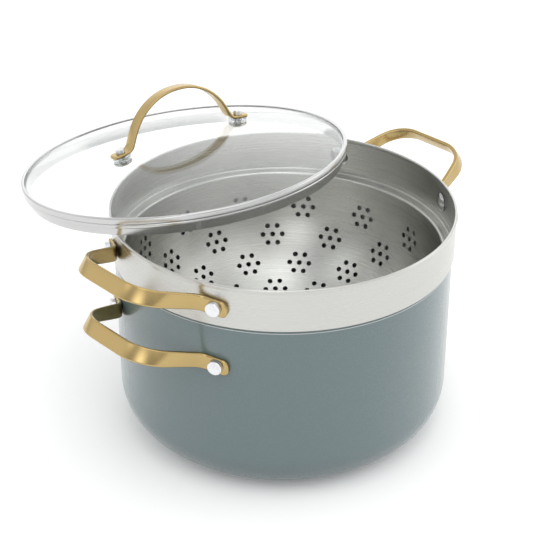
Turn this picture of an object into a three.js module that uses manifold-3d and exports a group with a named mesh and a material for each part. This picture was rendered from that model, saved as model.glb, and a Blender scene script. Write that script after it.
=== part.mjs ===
// Two-handled cooking pot with a perforated steamer insert and a glass lid lying ajar on the insert.
// Millimetres, +Z up. The origin is the middle of the pot's flat underside. The side handles point along X.

import * as THREE from 'three';
import { mergeVertices } from 'three/addons/utils/BufferGeometryUtils.js';
import Module from 'manifold-3d';

const wasm = await Module();
wasm.setup();

// Clearance between pieces that touch, how far from flat a merged face may be, and when two points are one
const GAP = 0.3;
const FLATNESS = 0.005;
const SAME_POINT = 0.0001;

// Facets round a turned piece, and steps round each kind of bend
const LARGE_FACETS = 36;
const SMALL_FACETS = 8;
const CORNER_STEPS = 5;
const FOLD_STEPS = 2;
const BOWL_STEPS = 6;
const FOOT_STEPS = 2;
const STRAP_BEND_STEPS = 4;
const STRAP_END_STEPS = 3;
const ARCH_STEPS = 8;
const GLASS_STEPS = 4;
const DOME_STEPS = 2;

// Pot: a drawn aluminium shell
const POT_RADIUS = 124;
const POT_HEIGHT = 140;
const POT_WALL = 3.5;
const POT_BASE = 4.5;
const POT_CORNER = 34;
const POT_RIM_EASE = 0.8;

// Steamer: one pressed steel sheet, with a beaded band above the pot, a ledge on its rim and a bowl below
const SHEET = 1;
const BAND_OVERHANG = 1.4;
const BAND_RADIUS = POT_RADIUS + BAND_OVERHANG;
const BAND_HEIGHT = 32.5;
const BEAD_RADIUS = 1;
const LEDGE_WIDTH = 8.1;
const LEDGE_JOIN = 0.7;
const LEDGE_BEND = 1.6;
const BOWL_BEND = 88.7;
const BOWL_DEPTH = 97;

// Perforation: staggered rows of seven-hole groups
const HOLE_SIZE = 3.5;
const HOLE_SIDES = 4;
const HOLE_PITCH = 7.9;
const GROUPS_PER_ROW = 14;
const WALL_ROWS = 4;
const FIRST_ROW_ANGLE = 12.8;
const ROW_STEP_ANGLE = 15;

// Cutters for holes: how far they reach out of the wall, and the length of a hole's cutter in hole sizes
const PUNCH_OVERSHOOT_RATIO = 0.1;
const HOLE_PUNCH_RATIO = 10;

// Side handles: a strap bent into a loop that rises away from the wall and leans back along its grip
const STRAP_THICKNESS = 3;
const STRAP_HEIGHT = 12;
const STRAP_STEP = 8;
const FOOT_ANGLE = 25.9;
const FOOT_OUTER_ANGLE = 4.05;
const FOOT_INNER_ANGLE = 2.7;
const FOOT_LEAD = 5.5;
const FOOT_BEND = 10;
const FOOT_ROUND = 4.5;
const GRIP_REACH = 38;
const GRIP_HALF_LENGTH = 34;
const GRIP_BEND = 24;
const GRIP_LEAN_ANGLE = 39;
const HANDLE_RISE_ANGLE = 19;
const STEAMER_HANDLE_HEIGHT = 16;
const POT_HANDLE_DROP = 30.6;

// Rivets: a stub head outside, a shank, and a low dome inside
const STUB_RADIUS = 5.3;
const LID_STUB_RADIUS = 3.5;
const STUB_LENGTH = 3.2;
const STUB_EASE = 0.5;
const SHANK_RADIUS = 2.7;
const DOME_RADIUS = 6.6;
const DOME_HEIGHT = 1.6;

// Lid: domed glass in a rolled steel rim with a skirt that drops inside the steamer
const LID_STEP = 0.5;
const LID_RADIUS = BAND_RADIUS - LID_STEP;
const GLASS_INSET = 1.5;
const GLASS_RADIUS = LID_RADIUS - GLASS_INSET;
const GLASS_THICKNESS = 4;
const GLASS_RISE = 18.8;
const LIP_WIDTH = 2.7;
const RIM_SHEET = 1;
const EDGE_DROP = 2.8;
const GROOVE_HEIGHT = 0.8;
const GROOVE_DEPTH = 0.6;
const FLANGE_INSET = 0.4;
const FLANGE_HEIGHT = 2;
const SKIRT_INSET = 3.9;
const SKIRT_RADIUS = LID_RADIUS - SKIRT_INSET;
const SKIRT_DROP = 12.8;

// Lid handle: a strap bent into a round arch with turned-out feet
const ARCH_RIVET_SPAN = 105;
const ARCH_RISE = 35.7;
const ARCH_FOOT_INSET = 7.4;
const ARCH_FOOT_LENGTH = 14.8;
const ARCH_LEG_ANGLE = 64.5;
const ARCH_TOP_BEND = 43.5;
const ARCH_FOOT_BEND = 7.5;
const ARCH_THICKNESS = 2.2;
const ARCH_WIDTH = 10.5;
const WASHER_RADIUS = 7;
const WASHER_THICKNESS = 1.5;

// The lid's place: slid off the middle, tipped down on its far side, and turned about its own axis
const LID_SHIFT = 100.1;
const LID_SHIFT_AZIMUTH = 96.2;
const LID_TILT = 8.9;
const LID_TURN = -6.3;
const LID_REST_GAP = 0.5;

const radians = THREE.MathUtils.degToRad;
const BAND_TOP = POT_HEIGHT + BAND_HEIGHT;
const SHEET_RADIUS = BAND_RADIUS - SHEET / 2;
const BOWL_RADIUS = SHEET_RADIUS - LEDGE_WIDTH;
const LEDGE_LEVEL = POT_HEIGHT + GAP + SHEET / 2;
const BOWL_FLOOR = LEDGE_LEVEL - BOWL_DEPTH;

const finishes = {
  coated: { color: 0x7e8c8d, roughness: 0.45, metalness: 0.3 },
  steel: { color: 0xc6c5c0, roughness: 0.35, metalness: 1 },
  polished: { color: 0xd8dadb, roughness: 0.12, metalness: 1 },
  gold: { color: 0xc8ad74, roughness: 0.35, metalness: 1 },
  rivet: { color: 0xdfe2e6, roughness: 0.3, metalness: 1 },
  glass: { color: 0xf2f6f6, roughness: 0.05, metalness: 0, transparent: true, opacity: 0.25 },
  gasket: { color: 0x9a9c9c, roughness: 0.7, metalness: 0 },
};

function mesh(name, geometry, finish) {
  geometry.computeVertexNormals();
  const piece = new THREE.Mesh(geometry, new THREE.MeshStandardMaterial(finishes[finish]));
  piece.name = name;
  return piece;
}

// Shared vertices only, with no triangle that has shrunk to a line
function closed(geometry) {
  geometry.deleteAttribute('normal');
  geometry.deleteAttribute('uv');
  const merged = mergeVertices(geometry, SAME_POINT);
  const index = merged.index.array;
  const kept = [];
  for (let i = 0; i < index.length; i += 3) {
    const [a, b, c] = [index[i], index[i + 1], index[i + 2]];
    if (a !== b && b !== c && c !== a) {
      kept.push(a, b, c);
    }
  }
  merged.setIndex(kept);
  return merged;
}

function solid(geometry) {
  const shared = closed(geometry);
  const vertProperties = new Float32Array(shared.attributes.position.array);
  const triVerts = new Uint32Array(shared.index.array);
  return new wasm.Manifold(new wasm.Mesh({ numProp: 3, vertProperties, triVerts }));
}

function surface(body) {
  const { vertProperties, triVerts } = body.getMesh();
  const geometry = new THREE.BufferGeometry();
  geometry.setAttribute('position', new THREE.BufferAttribute(vertProperties, 3));
  geometry.setIndex(new THREE.BufferAttribute(triVerts, 1));
  return geometry;
}

function cut(geometry, cutters) {
  const holes = wasm.Manifold.union(cutters.map(solid));
  return surface(solid(geometry).subtract(holes).simplify(FLATNESS));
}

// Points on an arc, from one angle to another in degrees
function arc(centreX, centreY, radius, from, to, steps) {
  const points = [];
  for (let i = 0; i <= steps; i += 1) {
    const angle = radians(from + ((to - from) * i) / steps);
    points.push(new THREE.Vector2(centreX + radius * Math.cos(angle), centreY + radius * Math.sin(angle)));
  }
  return points;
}

// A line through corners, each rounded by its bend, moved sideways; a positive side is to the left
function besideLine(corners, bends, side) {
  const points = [];
  const add = (point) => {
    if (points.length === 0 || points.at(-1).distanceTo(point) > SAME_POINT) {
      points.push(point);
    }
  };
  const heading = (i) => corners[i + 1].clone().sub(corners[i]).normalize();
  const leftOf = (way) => new THREE.Vector2(-way.y, way.x);
  const last = corners.length - 1;
  add(corners[0].clone().addScaledVector(leftOf(heading(0)), side));
  for (let i = 1; i < last; i += 1) {
    const into = heading(i - 1);
    const out = heading(i);
    const turn = Math.atan2(into.cross(out), into.dot(out));
    const hand = Math.sign(turn);
    const { radius, steps } = bends[i - 1];
    const start = corners[i].clone().addScaledVector(into, -radius * Math.tan(Math.abs(turn) / 2));
    const centre = start.clone().addScaledVector(leftOf(into), hand * radius);
    for (let k = 0; k <= steps; k += 1) {
      const spoke = start.clone().sub(centre).rotateAround(new THREE.Vector2(), (turn * k) / steps);
      add(centre.clone().add(spoke.setLength(radius - hand * side)));
    }
  }
  add(corners[last].clone().addScaledVector(leftOf(heading(last - 1)), side));
  return points;
}

// The closed outline of a strip that follows such a line
function strip(corners, bends, thickness) {
  const right = besideLine(corners, bends, -thickness / 2);
  const left = besideLine(corners, bends, thickness / 2);
  return [...right, ...left.reverse()];
}

// Turned about Z
function turned(profile, facets) {
  const geometry = new THREE.LatheGeometry(profile, facets);
  geometry.rotateX(Math.PI / 2);
  return geometry;
}

function ring(inner, outer, bottom, top, facets) {
  const corners = [[inner, bottom], [outer, bottom], [outer, top], [inner, top], [inner, bottom]];
  return turned(corners.map(([r, z]) => new THREE.Vector2(r, z)), facets);
}

// A slim pointed cutter along X: it has the given radius at the origin and its point at the given depth
function punch(radius, depth, sides) {
  const length = depth * (1 + PUNCH_OVERSHOOT_RATIO);
  const base = (radius * length) / depth;
  const cutter = new THREE.ConeGeometry(base, length, sides, 1, false, Math.PI / sides);
  cutter.rotateZ(Math.PI / 2);
  cutter.translate(length / 2 - depth, 0, 0);
  return cutter;
}

// A punch towards the axis, through a wall of the given radius, at an azimuth and a height
function radialPunch(wallRadius, azimuth, height) {
  const cutter = punch(SHANK_RADIUS + GAP, wallRadius, SMALL_FACETS);
  cutter.translate(wallRadius, 0, height);
  cutter.rotateZ(radians(azimuth));
  return cutter;
}

const footAzimuths = [FOOT_ANGLE, -FOOT_ANGLE, 180 + FOOT_ANGLE, 180 - FOOT_ANGLE];

// The punches for the four handle rivets of a wall
function rivetPunches(wallRadius, height) {
  return footAzimuths.map((azimuth) => radialPunch(wallRadius, azimuth, height));
}

function potShell() {
  const inner = POT_RADIUS - POT_WALL;
  const innerCorner = POT_CORNER - POT_BASE;
  const profile = [
    new THREE.Vector2(0, 0),
    ...arc(POT_RADIUS - POT_CORNER, POT_CORNER, POT_CORNER, -90, 0, CORNER_STEPS),
    new THREE.Vector2(POT_RADIUS, POT_HEIGHT - POT_RIM_EASE),
    new THREE.Vector2(POT_RADIUS - POT_RIM_EASE, POT_HEIGHT),
    new THREE.Vector2(inner, POT_HEIGHT),
    ...arc(inner - innerCorner, POT_BASE + innerCorner, innerCorner, 0, -90, CORNER_STEPS),
    new THREE.Vector2(0, POT_BASE),
  ];
  const shell = turned(profile, LARGE_FACETS);
  return cut(shell, rivetPunches(POT_RADIUS - POT_WALL, POT_HEIGHT - POT_HANDLE_DROP));
}

// The seven holes of a group: rows of two, three and two
function groupOffsets() {
  const offsets = [];
  for (const row of [-1, 0, 1]) {
    const count = 3 - Math.abs(row);
    for (let i = 0; i < count; i += 1) {
      offsets.push([(i - (count - 1) / 2) * HOLE_PITCH, row * HOLE_PITCH * Math.sin(Math.PI / 3)]);
    }
  }
  return offsets;
}

// A slim cutter for one hole
function holePunch() {
  const cornerRadius = HOLE_SIZE / 2 / Math.cos(Math.PI / HOLE_SIDES);
  return punch(cornerRadius, HOLE_SIZE * HOLE_PUNCH_RATIO, HOLE_SIDES);
}

// Hole cutters for one group, square to the bowl at an angle down its curve and at an azimuth
function wallGroup(angle, azimuth) {
  const centreRadius = BOWL_RADIUS - BOWL_BEND;
  const centreLevel = BOWL_FLOOR + BOWL_BEND;
  return groupOffsets().map(([across, down]) => {
    const dip = radians(angle) + down / BOWL_BEND;
    const radius = centreRadius + BOWL_BEND * Math.cos(dip);
    const hole = holePunch();
    hole.rotateY(dip);
    hole.translate(radius, 0, centreLevel - BOWL_BEND * Math.sin(dip));
    hole.rotateZ(radians(azimuth) + across / radius);
    return hole;
  });
}

function floorGroup() {
  return groupOffsets().map(([x, y]) => {
    const hole = holePunch();
    hole.rotateY(Math.PI / 2);
    hole.translate(x, y, BOWL_FLOOR);
    return hole;
  });
}

function perforation() {
  const step = 360 / GROUPS_PER_ROW;
  const holes = floorGroup();
  for (let row = 0; row < WALL_ROWS; row += 1) {
    const stagger = row % 2 === 0 ? step / 2 : 0;
    for (let i = 0; i < GROUPS_PER_ROW; i += 1) {
      holes.push(...wallGroup(FIRST_ROW_ANGLE + row * ROW_STEP_ANGLE, stagger + i * step));
    }
  }
  return holes;
}

// The bowl has two facets to each hole group, so that a hole lies on one facet, and the band is rounder.
// Both reach into the flat of the ledge, where they are joined. A round bead ends the band.
function steamerShell() {
  const ledgeMiddle = SHEET_RADIUS - LEDGE_WIDTH / 2;
  const fold = { radius: LEDGE_BEND, steps: FOLD_STEPS };
  const bowl = strip([
    new THREE.Vector2(0, BOWL_FLOOR),
    new THREE.Vector2(BOWL_RADIUS, BOWL_FLOOR),
    new THREE.Vector2(BOWL_RADIUS, LEDGE_LEVEL),
    new THREE.Vector2(ledgeMiddle + LEDGE_JOIN, LEDGE_LEVEL),
  ], [{ radius: BOWL_BEND, steps: BOWL_STEPS }, fold], SHEET);
  const band = strip([
    new THREE.Vector2(ledgeMiddle - LEDGE_JOIN, LEDGE_LEVEL),
    new THREE.Vector2(SHEET_RADIUS, LEDGE_LEVEL),
    new THREE.Vector2(SHEET_RADIUS, BAND_TOP - BEAD_RADIUS),
  ], [fold], SHEET);
  band.push(band[0].clone());
  const facets = GROUPS_PER_ROW * 2;
  const lower = turned(bowl, facets).rotateZ(Math.PI / facets);
  const upper = turned(band, LARGE_FACETS);
  const bead = new THREE.TorusGeometry(SHEET_RADIUS, BEAD_RADIUS, SMALL_FACETS, LARGE_FACETS);
  bead.translate(0, 0, BAND_TOP - BEAD_RADIUS);
  const shell = surface(wasm.Manifold.union([lower, upper, bead].map(solid)));
  const rivetHoles = rivetPunches(BAND_RADIUS - SHEET, POT_HEIGHT + STEAMER_HANDLE_HEIGHT);
  return cut(shell, [...perforation(), ...rivetHoles]);
}

// The plan of a side handle's middle line: a foot round the wall, an arm, half the grip, and the mirror image
function handleLine(wallRadius) {
  const middle = wallRadius + GAP + STRAP_THICKNESS / 2;
  const onWall = (angle, radius) => new THREE.Vector2(radius, 0).rotateAround(new THREE.Vector2(), radians(angle));
  const leave = FOOT_ANGLE - FOOT_INNER_ANGLE;
  const halfFoot = (FOOT_OUTER_ANGLE + FOOT_INNER_ANGLE) / 2;
  const along = new THREE.Vector2(Math.sin(radians(leave)), -Math.cos(radians(leave)));
  const half = [
    onWall(leave + 2 * halfFoot, middle),
    onWall(leave + halfFoot, middle / Math.cos(radians(halfFoot))),
    onWall(leave, middle).addScaledVector(along, FOOT_LEAD),
    new THREE.Vector2(POT_RADIUS + GRIP_REACH, GRIP_HALF_LENGTH),
  ];
  const mirrored = half.map((point) => new THREE.Vector2(point.x, -point.y)).reverse();
  const foot = { radius: middle, steps: FOOT_STEPS };
  const arm = { radius: FOOT_BEND, steps: STRAP_BEND_STEPS };
  const grip = { radius: GRIP_BEND, steps: STRAP_BEND_STEPS };
  return besideLine([...half, ...mirrored], [foot, arm, grip, grip, arm, foot], 0);
}

// How far along a line each of its points lies
function distancesAlong(line) {
  const distances = [0];
  for (let i = 1; i < line.length; i += 1) {
    distances.push(distances.at(-1) + line[i].distanceTo(line[i - 1]));
  }
  return distances;
}

// Distances from a strap's end at which its section is set: close together round the end, then at every bend
function stationDistances(distances) {
  const length = distances.at(-1);
  const stations = [];
  for (let i = 0; i < STRAP_END_STEPS; i += 1) {
    const distance = FOOT_ROUND * (1 - Math.cos((Math.PI / 2) * (i / STRAP_END_STEPS)));
    stations.push(distance, length - distance);
  }
  const inner = [FOOT_ROUND, ...distances, length - FOOT_ROUND]
    .filter((distance) => distance >= FOOT_ROUND && distance <= length - FOOT_ROUND)
    .sort((a, b) => a - b);
  inner.forEach((distance, i) => {
    const gap = i === 0 ? 0 : distance - inner[i - 1];
    const parts = Math.max(1, Math.ceil(gap / STRAP_STEP));
    for (let k = parts - 1; k >= 0; k -= 1) {
      stations.push(distance - (gap * k) / parts);
    }
  });
  stations.sort((a, b) => a - b);
  return stations.filter((distance, i) => i === 0 || distance - stations[i - 1] > SAME_POINT);
}

// The point of a line at a distance along it, and the direction to its left there
function placeOnLine(line, distances, distance) {
  const next = distances.findIndex((reached) => reached > distance - SAME_POINT);
  const i = Math.max(1, next);
  const part = (distance - distances[i - 1]) / (distances[i] - distances[i - 1]);
  const point = line[i - 1].clone().lerp(line[i], part);
  const atCorner = part > 1 - SAME_POINT && i + 1 < line.length;
  const ahead = atCorner ? line[i + 1] : line[i];
  const way = ahead.clone().sub(line[i]).normalize();
  way.add(line[i].clone().sub(line[i - 1]).normalize()).normalize();
  return { point, left: new THREE.Vector2(-way.y, way.x) };
}

// A side handle's strap: it stands on edge at its round feet, leans back along the grip, and rises outwards
function sideHandle(wallRadius) {
  const line = handleLine(wallRadius);
  const distances = distancesAlong(line);
  const length = distances.at(-1);
  const armStart = distances[FOOT_STEPS + STRAP_BEND_STEPS + 1];
  const gripStart = distances[FOOT_STEPS + STRAP_BEND_STEPS * 2 + 2];
  const rivetX = (wallRadius + GAP + STRAP_THICKNESS / 2) * Math.cos(radians(FOOT_ANGLE));
  const stations = stationDistances(distances).map((distance) => {
    const fromEnd = Math.min(distance, length - distance);
    const lean = radians(GRIP_LEAN_ANGLE) * THREE.MathUtils.smoothstep(fromEnd, armStart, gripStart);
    const short = Math.max(0, FOOT_ROUND - fromEnd);
    const half = STRAP_HEIGHT / 2 - FOOT_ROUND + Math.sqrt(FOOT_ROUND ** 2 - short ** 2);
    return { ...placeOnLine(line, distances, distance), lean, half };
  });

  const last = stations.length - 1;
  const strap = new THREE.BoxGeometry(1, 1, 1, last, 1, 1);
  const corners = strap.attributes.position;
  for (let i = 0; i < corners.count; i += 1) {
    const { point, left, lean, half } = stations[Math.round((corners.getX(i) + 0.5) * last)];
    const across = corners.getY(i) * STRAP_THICKNESS;
    const up = corners.getZ(i) * 2 * half;
    const spot = point.clone().addScaledVector(left, across * Math.cos(lean) - up * Math.sin(lean));
    const level = across * Math.sin(lean) + up * Math.cos(lean);
    const rise = (point.x - rivetX) * Math.tan(radians(HANDLE_RISE_ANGLE));
    corners.setXYZ(i, spot.x, spot.y, level + rise);
  }
  const rivets = [FOOT_ANGLE, -FOOT_ANGLE];
  return cut(strap, rivets.map((azimuth) => radialPunch(wallRadius, azimuth, 0)));
}

// A rivet along Z: the stub head starts at level 0 and the inner dome lies the grip length below
function rivetBody(stubRadius, grip) {
  const domeBend = (DOME_RADIUS ** 2 + DOME_HEIGHT ** 2) / (2 * DOME_HEIGHT);
  const domeEdge = THREE.MathUtils.radToDeg(Math.asin(DOME_RADIUS / domeBend));
  const dome = arc(0, domeBend - DOME_HEIGHT - grip, domeBend, -90, domeEdge - 90, DOME_STEPS);
  dome[0].x = 0;
  const head = [
    [SHANK_RADIUS, -grip],
    [SHANK_RADIUS, 0],
    [stubRadius, 0],
    [stubRadius, STUB_LENGTH - STUB_EASE],
    [stubRadius - STUB_EASE, STUB_LENGTH],
    [0, STUB_LENGTH],
  ];
  return turned([...dome, ...head.map(([r, z]) => new THREE.Vector2(r, z))], SMALL_FACETS);
}

// A handle and its two rivets on a wall, pointing along X
function handleGroup(prefix, side, wallRadius, wallThickness) {
  const group = new THREE.Group();
  group.add(mesh(`${prefix}_handle_${side}`, sideHandle(wallRadius), 'gold'));
  const headSeat = wallRadius + STRAP_THICKNESS + GAP * 2;
  const domeSeat = (wallRadius - wallThickness) * Math.cos(Math.PI / LARGE_FACETS) - GAP;
  const ends = { a: FOOT_ANGLE, b: -FOOT_ANGLE };
  for (const [end, azimuth] of Object.entries(ends)) {
    const body = rivetBody(STUB_RADIUS, headSeat - domeSeat);
    const rivet = mesh(`${prefix}_rivet_${side}_${end}`, closed(body), 'rivet');
    const turn = radians(azimuth);
    rivet.position.set(headSeat * Math.cos(turn), headSeat * Math.sin(turn), 0);
    rivet.rotation.set(0, Math.PI / 2, turn, 'ZYX');
    group.add(rivet);
  }
  return group;
}

function handlePair(prefix, wallRadius, wallThickness, height) {
  const pair = new THREE.Group();
  const right = handleGroup(prefix, 'right', wallRadius, wallThickness);
  const left = handleGroup(prefix, 'left', wallRadius, wallThickness);
  left.rotation.z = Math.PI;
  pair.add(right, left);
  pair.position.z = height;
  return pair;
}

// Lid pieces are made about the lid's own axis; level 0 is the glass's upper face at its edge
const DOME_BEND = (GLASS_RADIUS ** 2 + GLASS_RISE ** 2) / (2 * GLASS_RISE);
const rivetRadius = ARCH_RIVET_SPAN / 2;
const rivetSlope = Math.asin(rivetRadius / DOME_BEND);
const domeLevel = (radius) => GLASS_RISE - DOME_BEND + Math.sqrt(DOME_BEND ** 2 - radius ** 2);

// A point that stands a given height above the glass over a rivet, on the handle's plane
function aboveGlass(height) {
  const radius = rivetRadius + height * Math.sin(rivetSlope);
  return new THREE.Vector2(radius, domeLevel(rivetRadius) + height * Math.cos(rivetSlope));
}

// A punch square to the glass through one handle foot
function footPunch(side) {
  const cutter = punch(SHANK_RADIUS + GAP, LID_RADIUS, SMALL_FACETS);
  cutter.rotateY(side * rivetSlope - Math.PI / 2);
  cutter.translate(side * rivetRadius, 0, domeLevel(rivetRadius));
  return cutter;
}

function lidGlass() {
  const edge = Math.asin(GLASS_RADIUS / DOME_BEND);
  const centre = GLASS_RISE - DOME_BEND;
  const face = (radius, from, to) => arc(0, centre, radius, 90 - THREE.MathUtils.radToDeg(from),
    90 - THREE.MathUtils.radToDeg(to), GLASS_STEPS);
  const profile = [
    ...face(DOME_BEND - GLASS_THICKNESS, 0, edge),
    ...face(DOME_BEND, edge, 0),
  ];
  profile[0].x = 0;
  profile.at(-1).x = 0;
  return cut(turned(profile, LARGE_FACETS), [footPunch(1), footPunch(-1)]);
}

// The rim's section: a lip over the glass, a rolled edge, a groove, a flange under the glass and the skirt
function lidRim() {
  const channelFloor = -GLASS_THICKNESS - GAP * 2;
  const channelWall = LID_RADIUS - RIM_SHEET;
  const lipInner = LID_RADIUS - LIP_WIDTH;
  const lipSeat = domeLevel(lipInner) + GAP;
  const grooveRadius = LID_RADIUS - GROOVE_DEPTH;
  const grooveLevel = -EDGE_DROP - GROOVE_HEIGHT;
  const flangeRadius = LID_RADIUS - FLANGE_INSET;
  const flangeBottom = channelFloor - FLANGE_HEIGHT;
  const skirtInner = SKIRT_RADIUS - RIM_SHEET;
  const profile = [
    [skirtInner, -SKIRT_DROP],
    [SKIRT_RADIUS, -SKIRT_DROP],
    [SKIRT_RADIUS, flangeBottom],
    [flangeRadius, flangeBottom],
    [flangeRadius, grooveLevel - FLANGE_INSET],
    [grooveRadius, grooveLevel],
    [LID_RADIUS, -EDGE_DROP],
    [LID_RADIUS, GAP],
    [channelWall, lipSeat + RIM_SHEET],
    [lipInner, lipSeat + RIM_SHEET / 2],
    [lipInner, lipSeat],
    [channelWall, lipSeat],
    [channelWall, channelFloor],
    [skirtInner, channelFloor],
    [skirtInner, -SKIRT_DROP],
  ];
  return turned(profile.map(([r, z]) => new THREE.Vector2(r, z)), LARGE_FACETS);
}

function lidHandle() {
  const seat = GAP * 2 + WASHER_THICKNESS + ARCH_THICKNESS / 2;
  const rivet = aboveGlass(seat);
  const outward = new THREE.Vector2(Math.cos(rivetSlope), -Math.sin(rivetSlope));
  const inner = rivet.clone().addScaledVector(outward, -ARCH_FOOT_INSET);
  const outer = inner.clone().addScaledVector(outward, ARCH_FOOT_LENGTH);
  const leg = radians(ARCH_LEG_ANGLE);
  const top = new THREE.Vector2(inner.x - ARCH_RISE / Math.tan(leg), inner.y + ARCH_RISE);
  const half = [outer, inner, top];
  const mirrored = half.map((point) => new THREE.Vector2(-point.x, point.y)).reverse();
  const foot = { radius: ARCH_FOOT_BEND, steps: STRAP_BEND_STEPS };
  const arch = { radius: ARCH_TOP_BEND, steps: ARCH_STEPS };
  const side = new THREE.Shape(strip([...half, ...mirrored], [foot, arch, arch, foot], ARCH_THICKNESS));
  const strap = new THREE.ExtrudeGeometry(side, { depth: ARCH_WIDTH, bevelEnabled: false });
  strap.translate(0, 0, -ARCH_WIDTH / 2);
  strap.rotateX(Math.PI / 2);
  return cut(strap, [footPunch(1), footPunch(-1)]);
}

// The pieces that fasten one handle foot, stacked square to the glass
function lidFastening(end, side) {
  const stack = new THREE.Group();
  const hole = SHANK_RADIUS + GAP;
  const washer = ring(hole, WASHER_RADIUS, GAP, GAP + WASHER_THICKNESS, SMALL_FACETS);
  const gasketTop = -GLASS_THICKNESS - GAP * 2;
  const gasket = ring(hole, WASHER_RADIUS, gasketTop - WASHER_THICKNESS, gasketTop, SMALL_FACETS);
  const headSeat = GAP * 3 + WASHER_THICKNESS + ARCH_THICKNESS;
  const domeSeat = gasketTop - WASHER_THICKNESS - GAP;
  const rivet = mesh(`lid_rivet_${end}`, closed(rivetBody(LID_STUB_RADIUS, headSeat - domeSeat)), 'rivet');
  rivet.position.z = headSeat;
  stack.add(mesh(`lid_washer_${end}`, closed(washer), 'gasket'));
  stack.add(mesh(`lid_gasket_${end}`, closed(gasket), 'gasket'));
  stack.add(rivet);
  stack.position.set(side * rivetRadius, 0, domeLevel(rivetRadius));
  stack.rotation.y = side * rivetSlope;
  return stack;
}

// How high the lid's level 0 is when its tipped skirt meets the steamer's rim
function lidLevel() {
  const tilt = radians(LID_TILT);
  const offset = LID_SHIFT - SKIRT_DROP * Math.sin(tilt);
  const a = -((SKIRT_RADIUS * Math.sin(tilt)) ** 2);
  const b = 2 * offset * SKIRT_RADIUS * Math.cos(tilt);
  const c = offset ** 2 + SKIRT_RADIUS ** 2 - SHEET_RADIUS ** 2;
  const crossing = (-b + Math.sqrt(b * b - 4 * a * c)) / (2 * a);
  const below = SKIRT_RADIUS * crossing * Math.sin(tilt) + SKIRT_DROP * Math.cos(tilt);
  return BAND_TOP + LID_REST_GAP + below;
}

function lidGroup() {
  const turn = new THREE.Group();
  turn.add(mesh('lid_glass', lidGlass(), 'glass'));
  turn.add(mesh('lid_rim', closed(lidRim()), 'polished'));
  turn.add(mesh('lid_handle', lidHandle(), 'gold'));
  turn.add(lidFastening('a', 1), lidFastening('b', -1));
  turn.rotation.z = radians(LID_TURN - LID_SHIFT_AZIMUTH);

  const tip = new THREE.Group();
  tip.add(turn);
  tip.rotation.y = radians(LID_TILT);
  tip.position.x = LID_SHIFT;

  const place = new THREE.Group();
  place.add(tip);
  place.rotation.z = radians(LID_SHIFT_AZIMUTH);
  place.position.z = lidLevel();
  return place;
}

const group = new THREE.Group();
group.add(mesh('pot_shell', potShell(), 'coated'));
group.add(handlePair('pot', POT_RADIUS, POT_WALL, POT_HEIGHT - POT_HANDLE_DROP));
group.add(mesh('steamer_shell', steamerShell(), 'steel'));
group.add(handlePair('steamer', BAND_RADIUS, SHEET, POT_HEIGHT + STEAMER_HANDLE_HEIGHT));
group.add(lidGroup());

export default group;
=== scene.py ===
"""Looks of a cooking pot with a steamer insert and a glass lid that lies ajar on it. Metres, +Z up."""

import math

import bpy
import numpy as np
from mathutils import Color, Matrix, Vector


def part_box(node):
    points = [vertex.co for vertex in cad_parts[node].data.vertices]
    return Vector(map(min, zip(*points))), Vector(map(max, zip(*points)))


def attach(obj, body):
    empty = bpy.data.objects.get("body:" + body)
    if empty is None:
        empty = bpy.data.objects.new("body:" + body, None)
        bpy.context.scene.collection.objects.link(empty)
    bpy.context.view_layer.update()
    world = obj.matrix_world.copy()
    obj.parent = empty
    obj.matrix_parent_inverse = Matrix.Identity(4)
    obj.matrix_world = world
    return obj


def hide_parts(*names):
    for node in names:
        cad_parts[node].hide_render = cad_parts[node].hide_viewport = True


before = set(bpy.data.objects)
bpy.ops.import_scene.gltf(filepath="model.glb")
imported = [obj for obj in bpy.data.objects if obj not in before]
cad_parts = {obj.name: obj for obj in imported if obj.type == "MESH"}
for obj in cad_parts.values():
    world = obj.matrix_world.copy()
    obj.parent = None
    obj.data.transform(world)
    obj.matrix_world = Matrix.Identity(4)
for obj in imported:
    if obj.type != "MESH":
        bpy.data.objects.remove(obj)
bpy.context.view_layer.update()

MM = 0.001

# Sizes that the frame gives
POT_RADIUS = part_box("pot_shell")[1].y
POT_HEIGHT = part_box("pot_shell")[1].z
RIM_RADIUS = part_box("steamer_shell")[1].y
BAND_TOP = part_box("steamer_shell")[1].z
BOWL_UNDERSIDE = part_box("steamer_shell")[0].z

# Clearance between pieces, when two points are one, and the angle from which an edge is drawn sharp
GAP = 0.3 * MM
SAME_POINT = 0.001 * MM
SHARP_ANGLE = math.radians(38)

# How finely round shapes are divided: steps round a turned piece, and steps along each kind of bend
TURNS = 168
SMALL_TURNS = 40
BEND_STEPS = 12
EDGE_STEPS = 4
POT_CORNER_STEPS = 24
SHEET_BEND_STEPS = 40
GLASS_STEPS = 30
LID_RIM_STEPS = 5
STUB_STEPS = 5
DOME_STEPS = 8
STRAP_END_STEPS = 8
STRAP_STEP = 2 * MM

# Pot: its rim is bare metal, apart from a coated slope round the outer edge; the coat on the slope is partly
# painted shade, so that the seam under the steamer's band reads as a dark line
POT_WALL = 3.5 * MM
POT_BASE = 4.5 * MM
POT_CORNER = 34 * MM
RIM_EASE = 0.9 * MM
RIM_SLOPE = 1.5 * MM
BARE_RIM = 2.0 * MM

# Steamer: one sheet, whose fold under the band is tighter on the outside than on the inside
SHEET = 1 * MM
BEAD_RADIUS = 1 * MM
BEAD_HEIGHT = 4 * MM
LEDGE_WIDTH = 8.1 * MM
LEDGE_BEND = 1.6 * MM
BAND_BEND = 0.6 * MM
BOWL_BEND = 88.7 * MM
SHEET_RADIUS = RIM_RADIUS - BEAD_RADIUS
BAND_RADIUS = SHEET_RADIUS + SHEET / 2
BOWL_RADIUS = SHEET_RADIUS - LEDGE_WIDTH
LEDGE_LEVEL = POT_HEIGHT + GAP + SHEET / 2
BOWL_FLOOR = BOWL_UNDERSIDE + SHEET / 2

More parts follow.
